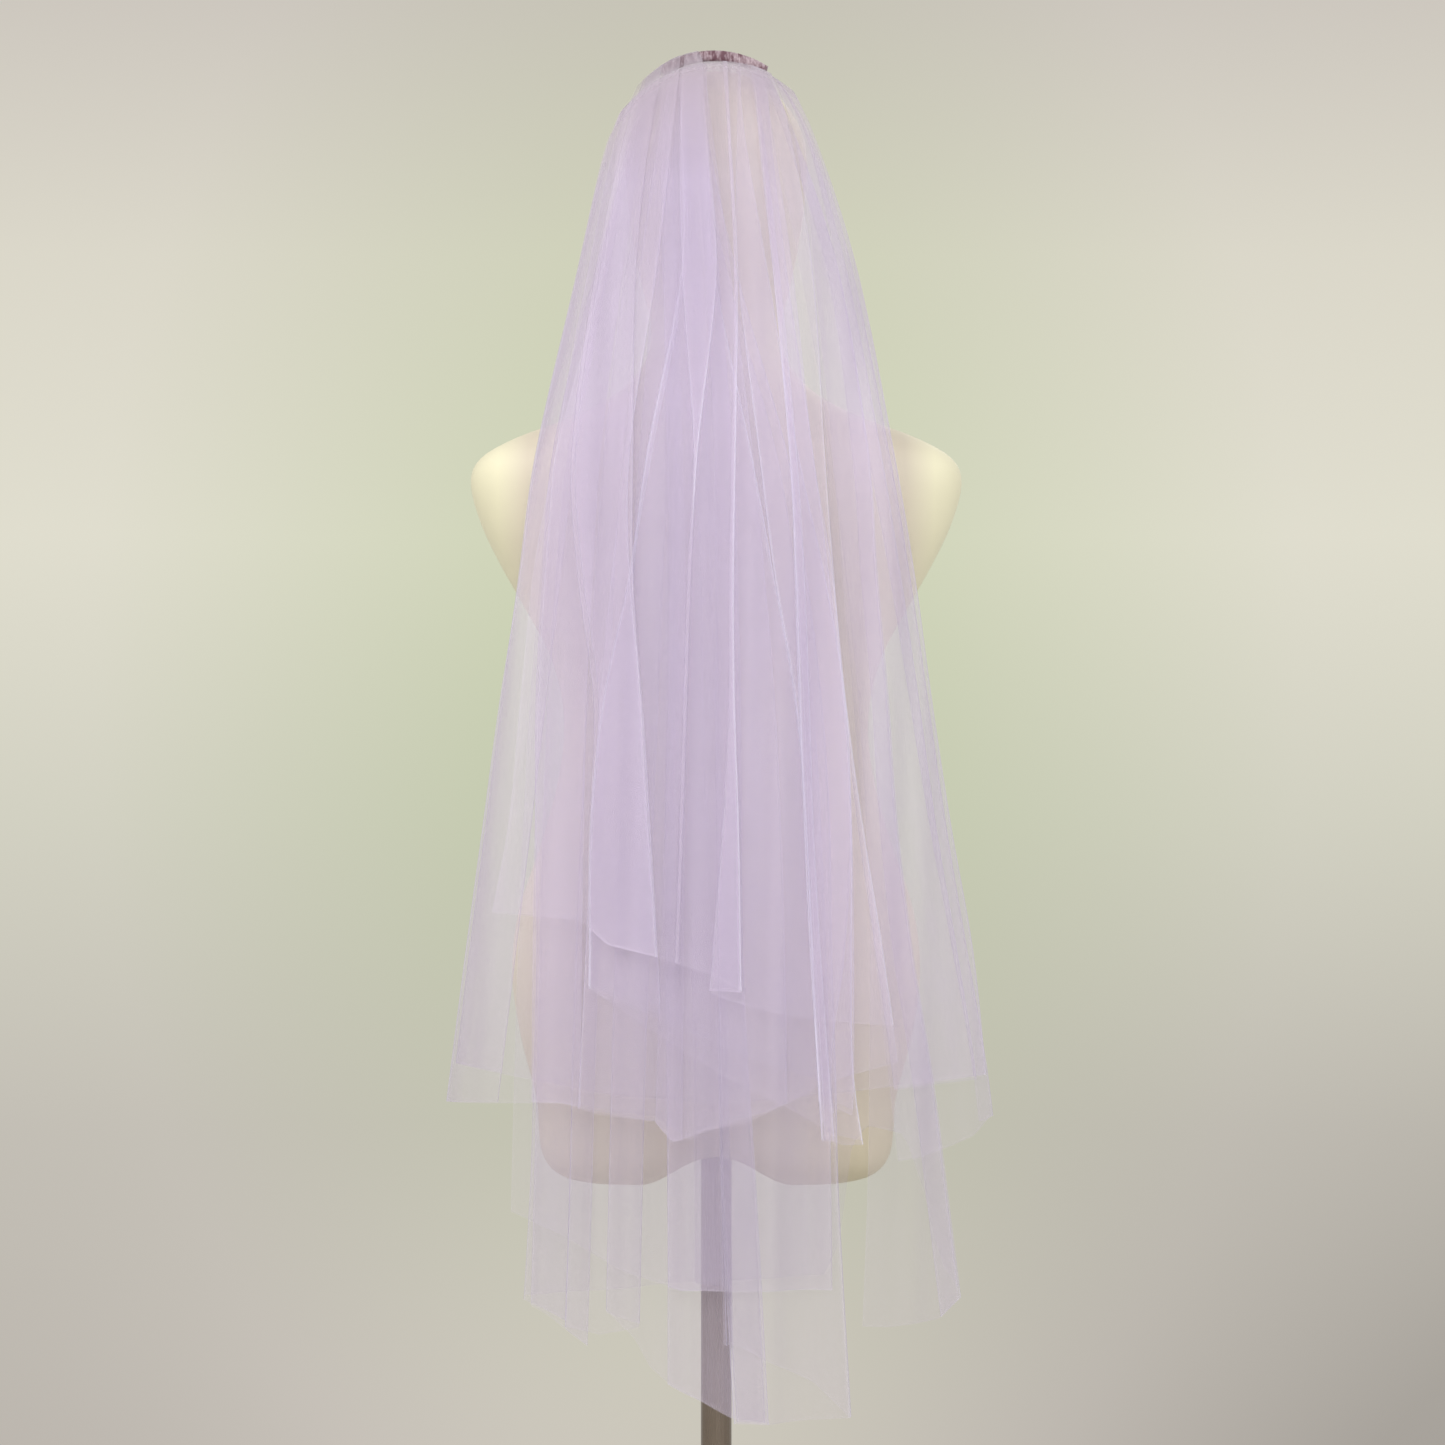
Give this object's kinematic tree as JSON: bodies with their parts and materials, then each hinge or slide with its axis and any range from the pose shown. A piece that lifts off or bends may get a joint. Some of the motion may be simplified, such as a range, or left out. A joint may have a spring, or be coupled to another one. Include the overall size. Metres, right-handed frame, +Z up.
{
  "type": "bridal veil on a limbless dress form",
  "caption": "Gathered tulle veil in layers on a bound hair comb, hung down the back of a limbless dress form that stands on a pole and a round foot.",
  "frame": {"origin": "middle of the foot's underside, on the floor, on the pole's axis", "axes": "+Z up along the pole; +Y the way the form faces; +X to the right of someone who looks at its back, so the veil hangs on the -Y side"},
  "size_m": [0.4151, 0.3964, 1.677],
  "materials": {
    "tulle": "sheer pale lilac net, matt",
    "binding_thread": "dark mauve whip stitching",
    "comb_plastic": "clear, glossy",
    "form_shell": "matt ivory",
    "pole_steel": "satin tube",
    "foot_steel": "satin grey"
  },
  "bodies": {
    "root": {"tier_upper": "tulle", "tier_lower": "tulle", "comb_binding": "binding_thread", "comb": "comb_plastic", "dress_form": "form_shell", "pole": "pole_steel", "base_socket": "foot_steel", "base_plate": "foot_steel"}
  },
  "joints": []
}
